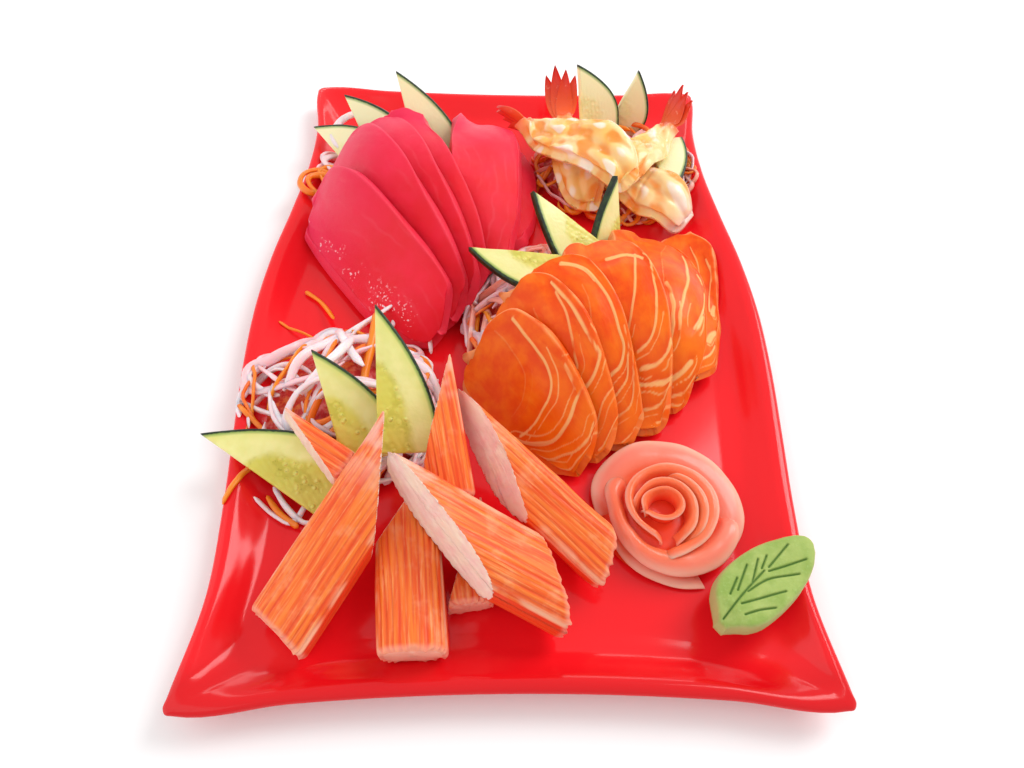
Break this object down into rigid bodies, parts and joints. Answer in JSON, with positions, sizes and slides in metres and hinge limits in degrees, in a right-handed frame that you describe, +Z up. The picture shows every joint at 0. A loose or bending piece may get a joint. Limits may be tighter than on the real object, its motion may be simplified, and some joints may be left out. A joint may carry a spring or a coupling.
{
  "type": "sashimi plate",
  "caption": "Rectangular red glazed plate with wavy edges, holding fanned raw fish slices, prawns, slant-cut crab sticks, cucumber, shredded vegetables, a ginger rose and a wasabi leaf.",
  "frame": {"origin": "middle of the flat underside of the plate", "axes": "+Y along the plate's longer side, away from the diner; +Z up"},
  "size_m": [0.2103, 0.308, 0.0545],
  "materials": {
    "red_glaze": "smooth glossy red glaze",
    "tuna": "moist raw flesh, faint grain, small highlights",
    "salmon": "moist raw flesh with pale wavy lines of fat",
    "prawn": "moist cooked flesh with orange bands, red tail",
    "crab_stick": "moist, orange-red striped outside, pale fibrous cut",
    "cucumber": "wet pale green flesh with dark green skin",
    "shreds": "wet translucent white radish with orange carrot",
    "ginger": "thin wet pickled slices, pink",
    "wasabi": "matt pressed paste with cut veins"
  },
  "bodies": {
    "root": {"crab_stick_1": "crab_stick", "crab_stick_2": "crab_stick", "crab_stick_3": "crab_stick", "crab_stick_4": "crab_stick", "crab_stick_5": "crab_stick", "crab_stick_6": "crab_stick", "crab_stick_7": "crab_stick", "cucumber_crab_1": "cucumber", "cucumber_crab_2": "cucumber", "cucumber_crab_3": "cucumber", "cucumber_prawn_1": "cucumber", "cucumber_prawn_2": "cucumber", "cucumber_prawn_3": "cucumber", "cucumber_salmon_1": "cucumber", "cucumber_salmon_2": "cucumber", "cucumber_salmon_3": "cucumber", "cucumber_tuna_1": "cucumber", "cucumber_tuna_2": "cucumber", "cucumber_tuna_3": "cucumber", "ginger_rose": "ginger", "plate": "red_glaze", "prawn_1": "prawn", "prawn_2": "prawn", "prawn_3": "prawn", "prawn_4": "prawn", "salmon_slice_1": "salmon", "salmon_slice_2": "salmon", "salmon_slice_3": "salmon", "salmon_slice_4": "salmon", "salmon_slice_5": "salmon", "salmon_slice_6": "salmon", "shreds_crab": "shreds", "shreds_prawn": "shreds", "shreds_salmon": "shreds", "shreds_tuna": "shreds", "tuna_slice_1": "tuna", "tuna_slice_2": "tuna", "tuna_slice_3": "tuna", "tuna_slice_4": "tuna", "tuna_slice_5": "tuna", "tuna_slice_6": "tuna", "wasabi_leaf": "wasabi"}
  },
  "joints": []
}
